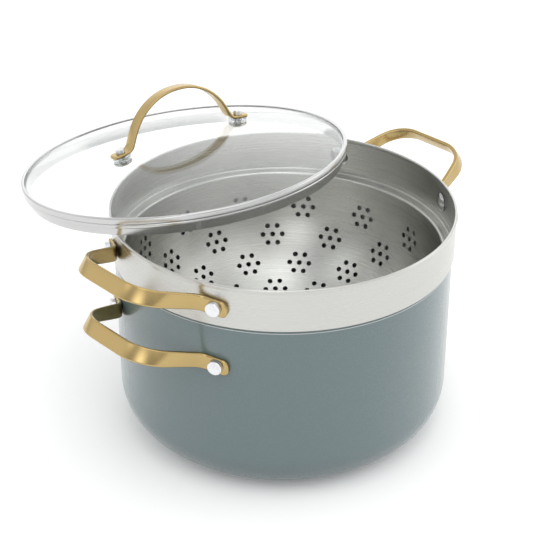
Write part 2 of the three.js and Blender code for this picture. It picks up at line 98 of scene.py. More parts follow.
# Perforation: staggered rows of seven-hole groups, a ring of fewer groups below, and a group on the floor
HOLE_RADIUS = 2.0 * MM
HOLE_PITCH = 7.9 * MM
HOLE_SIDES = 20
HOLES_ACROSS = 3
GROUPS_PER_ROW = 14
WALL_ROWS = 4
FIRST_ROW_ANGLE = 12.8
ROW_STEP_ANGLE = 15
LOW_RING_GROUPS = 7
PUNCH_REACH = 2 * SHEET

# Side handles: straps that stand on edge at the feet, lean back along the grip and rise outwards
STRAP_THICKNESS = 3 * MM
STRAP_HEIGHT = 12 * MM
STRAP_EDGE = 1.2 * MM
FOOT_ANGLE = 25.9
FOOT_OUTER_ANGLE = 4.05
FOOT_INNER_ANGLE = 2.7
FOOT_LEAD = 5.5 * MM
FOOT_BEND = 10 * MM
FOOT_ROUND = 4.5 * MM
GRIP_REACH = 38 * MM
GRIP_HALF_LENGTH = 34 * MM
GRIP_BEND = 24 * MM
GRIP_LEAN_ANGLE = 39
HANDLE_RISE_ANGLE = 19

# The most of a strap's half section that its rounded edges take
FULLEST_EDGE = 0.98

# Points of a strap's line that are nearer to its end than this many end lengths give way to finer ones
END_MARGIN = 1.05

# Rivets: a stub head with a dimple in its face, a shank and a low inner dome
STUB_RADIUS = 5.3 * MM
LID_STUB_RADIUS = 3.5 * MM
STUB_LENGTH = 3.2 * MM
STUB_EASE = 0.6 * MM
FACE_DIMPLE = 0.15 * MM
SHANK_RADIUS = 2.7 * MM
DOME_RADIUS = 7.4 * MM
DOME_HEIGHT = 2.6 * MM
LID_DOME_RADIUS = 6.6 * MM
LID_DOME_HEIGHT = 1.6 * MM

# The dimple's outer and inner edge, in stub radii
FACE_RING_OUTER = 0.68
FACE_RING_INNER = 0.6

# Lid: domed glass in a rolled steel rim with a skirt
LID_STEP = 0.5 * MM
LID_RADIUS = BAND_RADIUS - LID_STEP
GLASS_INSET = 1.5 * MM
GLASS_RADIUS = LID_RADIUS - GLASS_INSET
GLASS_THICKNESS = 4 * MM
GLASS_RISE = 18.8 * MM
GLASS_BEND = (GLASS_RADIUS ** 2 + GLASS_RISE ** 2) / (2 * GLASS_RISE)
GLASS_PUNCH_REACH = 2 * GLASS_THICKNESS
RIM_SHEET = 1 * MM
LIP_WIDTH = 2.7 * MM
LIP_EDGE = 0.35 * MM
EDGE_DROP = 2.8 * MM
GROOVE_HEIGHT = 0.8 * MM
GROOVE_DEPTH = 0.6 * MM
FLANGE_INSET = 0.4 * MM
FLANGE_HEIGHT = 2 * MM
SKIRT_INSET = 3.9 * MM
SKIRT_RADIUS = LID_RADIUS - SKIRT_INSET
SKIRT_DROP = 12.8 * MM

# Bends of the lid rim's section
LIP_EASE = 0.15 * MM
LIP_UNDER_EASE = 0.05 * MM
ROLL_BEND = 1.2 * MM
EDGE_EASE = 0.4 * MM
GROOVE_EASE = 0.1 * MM
FLANGE_TOP_EASE = 0.3 * MM
FLANGE_EASE = 0.8 * MM
SKIRT_EASE = 0.4 * MM
CHANNEL_EASE = 0.2 * MM
CHANNEL_END_EASE = 0.3 * MM

# Lid handle: a strap bent into a round arch, with a washer over and a gasket under the glass at each foot
ARCH_RIVET_SPAN = 105 * MM
ARCH_RISE = 35.7 * MM
ARCH_FOOT_INSET = 7.4 * MM
ARCH_FOOT_LENGTH = 14.8 * MM
ARCH_LEG_ANGLE = 64.5
ARCH_TOP_BEND = 43.5 * MM
ARCH_FOOT_BEND = 7.5 * MM
ARCH_THICKNESS = 2.2 * MM
ARCH_WIDTH = 10.5 * MM
ARCH_EDGE = 0.9 * MM
ARCH_END_ROUND = 2.5 * MM
WASHER_RADIUS = 7 * MM
WASHER_THICKNESS = 1.5 * MM
WASHER_EASE = 0.45 * MM
RIVET_RADIUS = ARCH_RIVET_SPAN / 2
RIVET_SLOPE = math.asin(RIVET_RADIUS / GLASS_BEND)

# Shaders: the full step of a written colour, a mix node's colour sockets, and where most of a noise lies
FULL_STEP = 255
MIX_FIRST = 6
MIX_SECOND = 7
MIX_RESULT = 2
NOISE_LOW = 0.3
NOISE_HIGH = 0.7
NOISE_DETAIL = 3

# Camera
CAMERA_PLACE = Vector((-0.6552, -0.6953, 0.6571))
CAMERA_AIM = Vector((-0.0136, -0.0003, 0.1227))
CAMERA_LENS = 98.2
SENSOR_WIDTH = 36

# Floor: pale and faintly glowing where it is seen, and grey in the light that it throws back
FLOOR_HALF_SIZE = 30.0
FLOOR_DROP = 0.2 * MM
FLOOR_COLOUR = 0.25
PALE_FLOOR_COLOUR = 1.0
FLOOR_GLOW = 0.08

# Soft lights: the way to each as the camera sees it (right, away, up), how narrow it is and its brightness
SKY = 0.05
SOFT_LIGHTS = [
    ((0, 0, 1), 14, 1.5),
    ((0, 1, 0.25), 4, 1.6),
    ((-1, 0, 0.25), 4, 1.2),
    ((1, 0, 0.25), 4, 0.25),
    ((0.6, -0.6, 0.6), 4, 1.3),
    ((-0.6, -0.6, 0.6), 4, 0.3),
    ((0.6, 0.6, 0.6), 4, 0.7),
    ((-0.6, 0.6, 0.6), 4, 0.5),
    ((0.9, 0.2, 0.3), 12, 2.0),
    ((-0.2, -0.85, 0.5), 20, 0.8),
    ((0, -0.45, 0.9), 40, 2.2),
    ((0.4, -0.4, 0.82), 40, 1.1),
    ((-0.22, -0.92, 0.32), 30, 2.3),
    ((-0.6, -0.3, 0.74), 40, 1.3),
]


# Outlines in a plane

def polar(radius, angle):
    """The point at a radius and at an angle in degrees."""
    return radius * Vector((math.cos(math.radians(angle)), math.sin(math.radians(angle))))


def arc(centre, radius, start, end, steps):
    """Points on an arc between two angles in degrees."""
    return [centre + polar(radius, start + (end - start) * i / steps) for i in range(steps + 1)]


def beside_line(corners, bends, side=0.0, steps=BEND_STEPS):
    """A line through corners, each rounded by its bend, moved sideways. A positive side is to the left."""
    points = []

    def add(point):
        if not points or (points[-1] - point).length > SAME_POINT:
            points.append(point)

    def left_of(way):
        return Vector((-way.y, way.x))

    ways = [(b - a).normalized() for a, b in zip(corners, corners[1:])]
    add(corners[0] + side * left_of(ways[0]))
    for corner, into, out, radius in zip(corners[1:], ways, ways[1:], bends):
        turn = math.atan2(into.x * out.y - into.y * out.x, into.dot(out))
        hand = math.copysign(1, turn)
        start = corner - into * radius * math.tan(abs(turn) / 2)
        centre = start + hand * radius * left_of(into)
        for k in range(steps + 1):
            spoke = Matrix.Rotation(turn * k / steps, 2) @ (start - centre)
            add(centre + spoke.normalized() * (radius - hand * side))
    add(corners[-1] + side * left_of(ways[-1]))
    return points


def rounded_loop(corners, radii, steps=EDGE_STEPS):
    """A closed outline whose corners are rounded."""
    first = (corners[0] + corners[-1]) / 2
    points = beside_line([first, *corners, first], radii, steps=steps)
    return points[:-1]


def section_loop(half_thickness, half_width, edge):
    """A strap's section: a rectangle with rounded edges."""
    a, b = half_thickness, half_width
    corners = [Vector((a, -b)), Vector((a, b)), Vector((-a, b)), Vector((-a, -b))]
    edge = min(edge, a * FULLEST_EDGE, b * FULLEST_EDGE)
    return rounded_loop(corners, [edge] * len(corners))


def smooth_step(value, start, end):
    """0 up to the start, 1 from the end on, and a smooth rise between them."""
    part = min(max((value - start) / (end - start), 0), 1)
    return part * part * (3 - 2 * part)


# Meshes

def mesh_from(name, vertices, faces):
    mesh = bpy.data.meshes.new(name)
    mesh.from_pydata([tuple(v) for v in vertices], [], faces)
    mesh.validate()
    return mesh


def turned_mesh(name, profile, turns, closed=False):
    """A profile of (radius, height) points turned about Z. An open one starts and ends on the axis."""
    vertices = []
    rings = []
    for point in profile:
        if abs(point.x) < SAME_POINT:
            rings.append([len(vertices)] * turns)
            vertices.append((0, 0, point.y))
            continue
        rings.append(list(range(len(vertices), len(vertices) + turns)))
        for i in range(turns):
            angle = 2 * math.pi * i / turns
            vertices.append((point.x * math.cos(angle), point.x * math.sin(angle), point.y))
    pairs = list(zip(rings, rings[1:]))
    if closed:
        pairs.append((rings[-1], rings[0]))
    faces = []
    for low, high in pairs:
        for i in range(turns):
            j = (i + 1) % turns
            corners = list(dict.fromkeys([low[i], low[j], high[j], high[i]]))
            if len(corners) > 2:
                faces.append(corners)
    return mesh_from(name, vertices, faces)


def swept_mesh(name, loops):
    """Closed loops of points joined one to the next, with a face at each end."""
    count = len(loops[0])
    vertices = [point for loop in loops for point in loop]
    faces = [list(range(count))[::-1], list(range(len(vertices) - count, len(vertices)))]
    for k in range(len(loops) - 1):
        for i in range(count):
            j = (i + 1) % count
            low, high = k * count, (k + 1) * count
            faces.append([low + i, low + j, high + j, high + i])
    return mesh_from(name, vertices, faces)


def place_piece(node, mesh, body, materials, matrix=None):
    """Shows a finer mesh in the place of a CAD node, on the node's own body."""
    mesh.shade_smooth()
    mesh.set_sharp_from_angle(angle=SHARP_ANGLE)
    piece = bpy.data.objects.new(f"{node}_fine", mesh)
    bpy.context.scene.collection.objects.link(piece)
    if matrix is not None:
        piece.matrix_world = matrix
    mesh.materials.clear()
    for material in materials:
        mesh.materials.append(material)
    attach(piece, body)
    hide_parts(node)


def drill(mesh, cutter_mesh):
    """The mesh with the cutters' volumes taken out of it."""
    blank = bpy.data.objects.new("blank", mesh)
    cutter = bpy.data.objects.new("cutter", cutter_mesh)
    for item in (blank, cutter):
        bpy.context.scene.collection.objects.link(item)
    holes = blank.modifiers.new("holes", "BOOLEAN")
    holes.operation = "DIFFERENCE"
    holes.solver = "MANIFOLD"
    holes.object = cutter
    depsgraph = bpy.context.evaluated_depsgraph_get()
    drilled = bpy.data.meshes.new_from_object(blank.evaluated_get(depsgraph))
    for item in (blank, cutter):
        bpy.data.objects.remove(item)
    return drilled


def cylinders(name, places, radius, half_length, sides):
    """One mesh of separate cylinders, each with its middle and the direction of its axis."""
    vertices = []
    faces = []
    for middle, axis in places:
        turn = axis.to_track_quat("Z", "Y")
        first = len(vertices)
        for level in (-half_length, half_length):
            for i in range(sides):
                angle = 2 * math.pi * i / sides
                spoke = Vector((radius * math.cos(angle), radius * math.sin(angle), level))
                vertices.append(middle + turn @ spoke)
        low = list(range(first, first + sides))
        high = list(range(first + sides, first + 2 * sides))
        faces.append(low[::-1])
        faces.append(high)
        for i in range(sides):
            j = (i + 1) % sides
            faces.append([low[i], low[j], high[j], high[i]])
    return mesh_from(name, vertices, faces)


# Shader nodes

def add_node(tree, kind, inputs=None, **settings):
    """A shader node, with its settings, and with values or links on its inputs."""
    made = tree.nodes.new(kind)
    for key, value in settings.items():
        setattr(made, key, value)
    for socket, value in (inputs or {}).items():
        if isinstance(value, bpy.types.NodeSocket):
            tree.links.new(value, made.inputs[socket])
        else:
            made.inputs[socket].default_value = value
    return made


def calculate(tree, operation, *values):
    """The result of a math node."""
    return add_node(tree, "ShaderNodeMath", dict(enumerate(values)), operation=operation).outputs[0]


def blend_colours(tree, factor, first, second):
    inputs = {"Factor": factor, MIX_FIRST: first, MIX_SECOND: second}
    return add_node(tree, "ShaderNodeMix", inputs, data_type="RGBA").outputs[MIX_RESULT]


def linear(red, green, blue):
    """A colour written in sRGB steps of 0 to 255, as the linear values that shaders take."""
    written = Color((red / FULL_STEP, green / FULL_STEP, blue / FULL_STEP))
    return (*written.from_srgb_to_scene_linear(), 1)


def darkened(colour, share):
    """A share of a colour's light."""
    return (*(part * share for part in colour[:3]), 1)


def grey(value):
    return (value, value, value, 1)


def object_place(tree):
    return add_node(tree, "ShaderNodeTexCoord").outputs["Object"]


def grain(tree, scale):
    """Even noise, with its scale in grains per metre."""
    inputs = {"Vector": object_place(tree), "Scale": scale, "Detail": NOISE_DETAIL}
    return add_node(tree, "ShaderNodeTexNoise", inputs).outputs["Fac"]


def brush_lines(tree, across, along):
    """Noise drawn out round the Z axis: fine across the brushing, long along it, with no seam."""
    x, y, z = add_node(tree, "ShaderNodeSeparateXYZ", {"Vector": object_place(tree)}).outputs
    angle = calculate(tree, "ARCTAN2", y, x)
    flat = add_node(tree, "ShaderNodeCombineXYZ", {"X": x, "Y": y}).outputs[0]
    radius = add_node(tree, "ShaderNodeVectorMath", {0: flat}, operation="LENGTH").outputs["Value"]
    lines = add_node(tree, "ShaderNodeCombineXYZ", {
        "X": calculate(tree, "MULTIPLY", calculate(tree, "COSINE", angle), along),
        "Y": calculate(tree, "MULTIPLY", calculate(tree, "SINE", angle), along),
        "Z": calculate(tree, "MULTIPLY", z, across),
    })
    noise = add_node(tree, "ShaderNodeTexNoise", {
        "Vector": lines.outputs[0],
        "W": calculate(tree, "MULTIPLY", radius, across),
        "Scale": 1,
        "Detail": NOISE_DETAIL,
    }, noise_dimensions="4D")
    return noise.outputs["Fac"]


def vary(tree, shader, texture, dark, light, roughness, spread):
    """Lets a texture vary a shader's colour, and its roughness by a spread to both sides."""
    tree.links.new(blend_colours(tree, texture, dark, light), shader.inputs["Base Color"])
    rough = add_node(tree, "ShaderNodeMapRange", {
        "Value": texture,
        "From Min": NOISE_LOW,
        "From Max": NOISE_HIGH,
        "To Min": roughness - spread,
        "To Max": roughness + spread,
    })
    tree.links.new(rough.outputs["Result"], shader.inputs["Roughness"])


def bump(tree, shader, height, strength, depth):
    relief = add_node(tree, "ShaderNodeBump", {"Height": height, "Strength": strength, "Distance": depth})
    tree.links.new(relief.outputs["Normal"], shader.inputs["Normal"])


# Materials

def principled(name, values):
    """A material with one principled shader; returns the material and the shader's node."""
    material = bpy.data.materials.new(name)
    material.use_nodes = True
    shader = material.node_tree.nodes["Principled BSDF"]
    for socket, value in values.items():
        shader.inputs[socket].default_value = value
    return material, shader


def satin_coating(name, light, dark, roughness):
    """A sprayed satin coat with a fine grain."""
    values = {"Metallic": 0, "IOR": 1.6, "Coat Weight": 0.5, "Coat Roughness": 0.15}
    material, shader = principled(name, values)
    tree = material.node_tree
    vary(tree, shader, grain(tree, scale=2200), dark, light, roughness, spread=0.04)
    bump(tree, shader, grain(tree, scale=900), strength=0.06, depth=0.2 * MM)
    return material


def brushed_steel(name, colour, roughness, spread, across, along):
    """Steel brushed round its axis."""
    values = {"Metallic": 1, "Anisotropic": 0.7, "Anisotropic Rotation": 0.25}
    material, shader = principled(name, values)
    tree = material.node_tree
    lines = brush_lines(tree, across, along)
    vary(tree, shader, lines, darkened(colour, share=0.9), colour, roughness, spread)
    tangent = add_node(tree, "ShaderNodeTangent", direction_type="RADIAL", axis="Z")
    tree.links.new(tangent.outputs["Tangent"], shader.inputs["Tangent"])
    bump(tree, shader, lines, strength=0.02, depth=0.02 * MM)
    return material


def satin_metal(name, colour, roughness, scale):
    """Bead-blasted or plated metal with an even satin finish."""
    material, shader = principled(name, {"Metallic": 1})
    tree = material.node_tree
    texture = grain(tree, scale)
    vary(tree, shader, texture, darkened(colour, share=0.93), colour, roughness, spread=0.045)
    bump(tree, shader, texture, strength=0.03, depth=0.05 * MM)
    return material


def clear_glass(name, tint):
    values = {"Base Color": tint, "Roughness": 0.0, "IOR": 1.5, "Transmission Weight": 1.0}
    material, _ = principled(name, values)
    return material


def clear_rubber(name, colour):
    """Clear silicone with a faint grain."""
    material, shader = principled(name, {"Roughness": 0.08, "IOR": 1.2, "Transmission Weight": 0.9})
    tree = material.node_tree
    texture = grain(tree, scale=1500)
    blend = blend_colours(tree, texture, darkened(colour, share=0.93), colour)
    tree.links.new(blend, shader.inputs["Base Color"])
    bump(tree, shader, texture, strength=0.1, depth=0.1 * MM)
    return material


COATING = satin_coating(
    "teal_coating", light=linear(117, 137, 140), dark=linear(109, 129, 132), roughness=0.25)
INSIDE_COATING = satin_coating(
    "grey_inside_coating", light=linear(176, 178, 178), dark=linear(160, 162, 162), roughness=0.4)
BARE_METAL = brushed_steel(
    "bare_rim_metal", linear(190, 190, 189), roughness=0.3, spread=0.05, across=4000, along=5)
STEEL = brushed_steel(
    "brushed_steel", linear(203, 203, 199), roughness=0.3, spread=0.06, across=2400, along=1.2)
POLISHED = brushed_steel(
    "polished_rim_steel", linear(200, 201, 200), roughness=0.18, spread=0.02, across=3000, along=3)
GOLD = satin_metal("satin_gold", linear(186, 162, 111), roughness=0.215, scale=1800)
RIVET = satin_metal("rivet_metal", linear(228, 229, 231), roughness=0.285, scale=1500)
GLASS = clear_glass("lid_glass", tint=(0.948, 0.967, 0.971, 1))
SILICONE = clear_rubber("clear_silicone", linear(246, 248, 248))


# Pot

def pot_profile():
    """The shell's section: from the middle of the base up the outside, over the rim and down the inside."""
    inner = POT_RADIUS - POT_WALL
    inner_corner = POT_CORNER - POT_BASE
    outer_centre = Vector((POT_RADIUS - POT_CORNER, POT_CORNER))
    inner_centre = Vector((inner - inner_corner, POT_BASE + inner_corner))
    ease_centre = Vector((inner + RIM_EASE, POT_HEIGHT - RIM_EASE))
    return [
        Vector((0, 0)),
        *arc(outer_centre, POT_CORNER, -90, 0, POT_CORNER_STEPS),
        Vector((POT_RADIUS, POT_HEIGHT - BARE_RIM)),
        Vector((POT_RADIUS, POT_HEIGHT - RIM_SLOPE)),
        Vector((POT_RADIUS - RIM_SLOPE, POT_HEIGHT)),
        *arc(ease_centre, RIM_EASE, 90, 180, EDGE_STEPS),
        *arc(inner_centre, inner_corner, 0, -90, POT_CORNER_STEPS),
        Vector((0, POT_BASE)),
    ]


def make_pot():
    mesh = turned_mesh("pot_shell", pot_profile(), TURNS)
    finishes = [COATING, BARE_METAL, INSIDE_COATING]
    place_piece("pot_shell", mesh, "pot", finishes)
    for face in mesh.polygons:
        radius = face.center.xy.length
        level = face.center.z
        # The slope keeps the darker coat as painted shade for the seam under the steamer's band; the rest of
        # the rim is bare metal
        on_slope = level > POT_HEIGHT - RIM_SLOPE and radius > POT_RADIUS - RIM_SLOPE
        within = radius < POT_RADIUS - POT_WALL + RIM_EASE and level > POT_BASE / 2
        turned_in = face.normal.z > 0 or face.normal.xy.dot(face.center.xy) < 0
        if level > POT_HEIGHT - BARE_RIM and not on_slope:
            face.material_index = finishes.index(BARE_METAL)
        elif within and turned_in:
            face.material_index = finishes.index(INSIDE_COATING)


# Steamer

def bead_side(hand):
    """One side of the band's edge, where the sheet thickens smoothly into the bead."""
    start = BAND_TOP - BEAD_HEIGHT
    end = BAND_TOP - BEAD_RADIUS
    points = []
    for k in range(1, BEND_STEPS):
        level = start + (end - start) * k / BEND_STEPS
        half = SHEET / 2 + (BEAD_RADIUS - SHEET / 2) * smooth_step(level, start, end)
        points.append(Vector((SHEET_RADIUS + hand * half, level)))
    return points


def steamer_profile():
    """The sheet's section: from the middle of the bowl up the outside, over the bead and down the inside."""
    corners = [
        Vector((0, BOWL_FLOOR)),
        Vector((BOWL_RADIUS, BOWL_FLOOR)),
        Vector((BOWL_RADIUS, LEDGE_LEVEL)),
        Vector((SHEET_RADIUS, LEDGE_LEVEL)),
        Vector((SHEET_RADIUS, BAND_TOP - BEAD_HEIGHT)),
    ]
    outside = beside_line(corners, [BOWL_BEND, LEDGE_BEND, BAND_BEND], -SHEET / 2, SHEET_BEND_STEPS)
    inside = beside_line(corners, [BOWL_BEND, LEDGE_BEND, LEDGE_BEND], SHEET / 2, SHEET_BEND_STEPS)
    bead = arc(Vector((SHEET_RADIUS, BAND_TOP - BEAD_RADIUS)), BEAD_RADIUS, 0, 180, BEND_STEPS)
    return outside + bead_side(1) + bead + bead_side(-1)[::-1] + inside[::-1]


def group_offsets():
    """The seven holes of a group: rows of two, three and two."""
    row_pitch = HOLE_PITCH * math.sin(math.pi / 3)
    offsets = []
    for row in (-1, 0, 1):
        count = HOLES_ACROSS - abs(row)
        for i in range(count):
            across = (i - (count - 1) / 2) * HOLE_PITCH
            offsets.append((across, row * row_pitch))
    return offsets


def bowl_group(angle, azimuth):
    """Places of a group's holes, square to the bowl, at an angle down its curve and at an azimuth."""
    centre = Vector((BOWL_RADIUS - BOWL_BEND, BOWL_FLOOR + BOWL_BEND))
    places = []
    for across, down in group_offsets():
        outward, upward = polar(1, -angle - math.degrees(down / BOWL_BEND))
        radius = centre.x + BOWL_BEND * outward
        level = centre.y + BOWL_BEND * upward
        turn = azimuth + math.degrees(across / radius)
        middle = Vector((*polar(radius, turn), level))
        axis = Vector((*polar(outward, turn), upward))
        places.append((middle, axis))
    return places


def perforation():
    step = 360 / GROUPS_PER_ROW
    down = Vector((0, 0, -1))
    places = [(Vector((x, y, BOWL_FLOOR)), down) for x, y in group_offsets()]
    for row in range(WALL_ROWS):
        stagger = step / 2 if row % 2 == 0 else 0
        for i in range(GROUPS_PER_ROW):
            places += bowl_group(FIRST_ROW_ANGLE + row * ROW_STEP_ANGLE, stagger + i * step)
    low_ring_angle = FIRST_ROW_ANGLE + WALL_ROWS * ROW_STEP_ANGLE
    for i in range(LOW_RING_GROUPS):
        places += bowl_group(low_ring_angle, step / 2 + i * 360 / LOW_RING_GROUPS)
    return places


def make_steamer():
    blank = turned_mesh("steamer_blank", steamer_profile(), TURNS)
    punches = cylinders("hole_punches", perforation(), HOLE_RADIUS, PUNCH_REACH, HOLE_SIDES)
    mesh = drill(blank, punches)
    mesh.name = "steamer_shell"
    place_piece("steamer_shell", mesh, "steamer", [STEEL])


# Side handles and rivets

def handle_path(middle):
    """A side handle's line in plan: a foot at the middle radius, an arm, the grip, and the mirror image."""
    leave = FOOT_ANGLE - FOOT_INNER_ANGLE
    half_foot = (FOOT_OUTER_ANGLE + FOOT_INNER_ANGLE) / 2
    half = [
        polar(middle, leave + 2 * half_foot),
        polar(middle / math.cos(math.radians(half_foot)), leave + half_foot),
        polar(middle, leave) + polar(FOOT_LEAD, leave - 90),
        Vector((POT_RADIUS + GRIP_REACH, GRIP_HALF_LENGTH)),
    ]
    corners = half + [Vector((p.x, -p.y)) for p in reversed(half)]
    bends = [middle, FOOT_BEND, GRIP_BEND]
    return beside_line(corners, bends + bends[::-1])


def divided(points, longest):
    """The line with its long straight pieces divided."""
    result = [points[0]]
    for a, b in zip(points, points[1:]):
        parts = max(1, math.ceil((b - a).length / longest))
        result += [a.lerp(b, k / parts) for k in range(1, parts + 1)]
    return result


def finely_ended(points, end_length):
    """The line with extra points near its two ends, closer together towards each end."""
    turns = [math.pi / 2 * k / STRAP_END_STEPS for k in range(STRAP_END_STEPS + 1)]
    distances = [end_length * (1 - math.cos(turn)) for turn in turns]

    def eased(line):
        start = line[0]
        way = (line[1] - start).normalized()
        kept = [p for p in line[1:] if (p - start).length > end_length * END_MARGIN]
        return [start + way * distance for distance in distances] + kept

    return eased(eased(points)[::-1])[::-1]


def distances_along(points):
    lengths = [0.0]
    for a, b in zip(points, points[1:]):
        lengths.append(lengths[-1] + (b - a).length)
    return lengths


def line_stations(points):
    """For each point of a line: the point, the direction to its left and the distance to the nearer end."""
    lengths = distances_along(points)
    stations = []
    for i, point in enumerate(points):
        way = (points[min(i + 1, len(points) - 1)] - points[max(i - 1, 0)]).normalized()
        stations.append((point, Vector((-way.y, way.x)), min(lengths[i], lengths[-1] - lengths[i])))
    return stations


def rounded_half(half, radius, distance):
    """Half of a strap's width at a distance from its rounded end."""
    if distance >= radius:
        return half
    return half - radius + math.sqrt(max(radius ** 2 - (radius - distance) ** 2, 0))


def handle_mesh(name, wall_radius):
    """A side handle about its rivets' level. It twists from the start of its arm to the start of its grip."""
    middle = wall_radius + GAP + STRAP_THICKNESS / 2
    path = handle_path(middle)
    # Numbers of the points at which the line's first three bends end
    foot_end = BEND_STEPS
    arm_bend_end = foot_end + 1 + BEND_STEPS
    grip_bend_end = arm_bend_end + 1 + BEND_STEPS
    lengths = distances_along(path)
    arm_start = lengths[arm_bend_end]
    grip_start = lengths[grip_bend_end]
    rivet_x = polar(middle, FOOT_ANGLE).x
    slope = math.tan(math.radians(HANDLE_RISE_ANGLE))
    loops = []
    for point, left, distance in line_stations(finely_ended(divided(path, STRAP_STEP), FOOT_ROUND)):
        half_height = rounded_half(STRAP_HEIGHT / 2, FOOT_ROUND, distance)
        lean = math.radians(GRIP_LEAN_ANGLE) * smooth_step(distance, arm_start, grip_start)
        loop = []
        for across, up in section_loop(STRAP_THICKNESS / 2, half_height, STRAP_EDGE):
            spot = point + left * (across * math.cos(lean) - up * math.sin(lean))
            level = across * math.sin(lean) + up * math.cos(lean)
            loop.append(Vector((spot.x, spot.y, level + slope * (point.x - rivet_x))))
        loops.append(loop)
    return swept_mesh(name, loops)


def rivet_mesh(name, stub_radius, dome_radius, dome_height, grip):
    """A rivet along Z: the stub head starts at level 0 and the inner dome lies the grip length below."""
    dome_bend = (dome_radius ** 2 + dome_height ** 2) / (2 * dome_height)
    half_angle = math.degrees(math.asin(dome_radius / dome_bend))
    dome_centre = Vector((0, dome_bend - dome_height - grip))
    ease_centre = Vector((stub_radius - STUB_EASE, STUB_LENGTH - STUB_EASE))
    dimple = STUB_LENGTH - FACE_DIMPLE
    profile = [
        *arc(dome_centre, dome_bend, -90, half_angle - 90, DOME_STEPS),
        Vector((SHANK_RADIUS, -grip)),
        Vector((SHANK_RADIUS, 0)),
        Vector((stub_radius, 0)),
        *arc(ease_centre, STUB_EASE, 0, 90, STUB_STEPS),
        Vector((stub_radius * FACE_RING_OUTER, STUB_LENGTH)),
        Vector((stub_radius * FACE_RING_INNER, dimple)),
        Vector((0, dimple)),
    ]
    return turned_mesh(name, profile, SMALL_TURNS)


def make_handle_pair(body, wall_radius, wall_thickness):
    """A body's two side handles, each with its rivets, whose inner domes are polished."""
    head_seat = wall_radius + STRAP_THICKNESS + 2 * GAP
    dome_seat = wall_radius - wall_thickness - DOME_RADIUS ** 2 / (2 * wall_radius) - GAP
    grip = head_seat - dome_seat
    finishes = [RIVET, POLISHED]
    for side, facing in (("right", 0), ("left", math.pi)):
        low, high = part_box(f"{body}_rivet_{side}_a")
        level = Matrix.Translation((0, 0, (low.z + high.z) / 2))
        handle = f"{body}_handle_{side}"
        turn = Matrix.Rotation(facing, 4, "Z")
        place_piece(handle, handle_mesh(handle, wall_radius), body, [GOLD], level @ turn)
        for end, angle in (("a", FOOT_ANGLE), ("b", -FOOT_ANGLE)):
            rivet = f"{body}_rivet_{side}_{end}"
            outward = Matrix.Rotation(facing + math.radians(angle), 4, "Z")
            seat = Matrix.Translation((head_seat, 0, 0)) @ Matrix.Rotation(math.pi / 2, 4, "Y")
            mesh = rivet_mesh(rivet, STUB_RADIUS, DOME_RADIUS, DOME_HEIGHT, grip)
            place_piece(rivet, mesh, body, finishes, level @ outward @ seat)
            for face in mesh.polygons:
                if face.center.z < -grip:
                    face.material_index = finishes.index(POLISHED)


# Lid: its pieces are made about its own axis, with level 0 at the glass's upper edge

def glass_level(radius):
    return GLASS_RISE - GLASS_BEND + math.sqrt(GLASS_BEND ** 2 - radius ** 2)


def lid_matrix():
    """The lid's place at rest, from the frame: its axis from the rim, its X from the two rivets."""
    rim = np.array([v.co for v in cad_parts["lid_rim"].data.vertices])
    middle = rim.mean(axis=0)
    _, directions = np.linalg.eigh(np.cov((rim - middle).T))
    flattest = directions[:, 0]
    up = Vector(flattest if flattest[2] > 0 else -flattest)
    lowest = min((Vector(v) - Vector(middle)).dot(up) for v in rim)
    origin = Vector(middle) + up * (lowest + SKIRT_DROP)
    ends = [sum(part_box(f"lid_rivet_{end}"), Vector()) / 2 for end in "ab"]
    along = ends[0] - ends[1]
    along = (along - up * along.dot(up)).normalized()
    turn = Matrix((along, up.cross(along), up)).transposed().to_4x4()
    return Matrix.Translation(origin) @ turn


def fastening_matrix(side):
    """A frame square to the glass at one handle foot, with level 0 on the glass."""
    seat = Matrix.Translation((side * RIVET_RADIUS, 0, glass_level(RIVET_RADIUS)))
    return seat @ Matrix.Rotation(side * RIVET_SLOPE, 4, "Y")


def glass_mesh():
    """The dome, with a hole for each rivet's shank."""
    edge = math.degrees(math.asin(GLASS_RADIUS / GLASS_BEND))
    centre = Vector((0, GLASS_RISE - GLASS_BEND))
    under = arc(centre, GLASS_BEND - GLASS_THICKNESS, 90, 90 - edge, GLASS_STEPS)
    over = arc(centre, GLASS_BEND, 90 - edge, 90, GLASS_STEPS)
    blank = turned_mesh("glass_blank", under + over, TURNS)
    seats = [fastening_matrix(side) for side in (1, -1)]
    places = [(seat.translation, seat.col[2].xyz) for seat in seats]
    punches = cylinders("shank_punches", places, SHANK_RADIUS + GAP, GLASS_PUNCH_REACH, SMALL_TURNS)
    return drill(blank, punches)


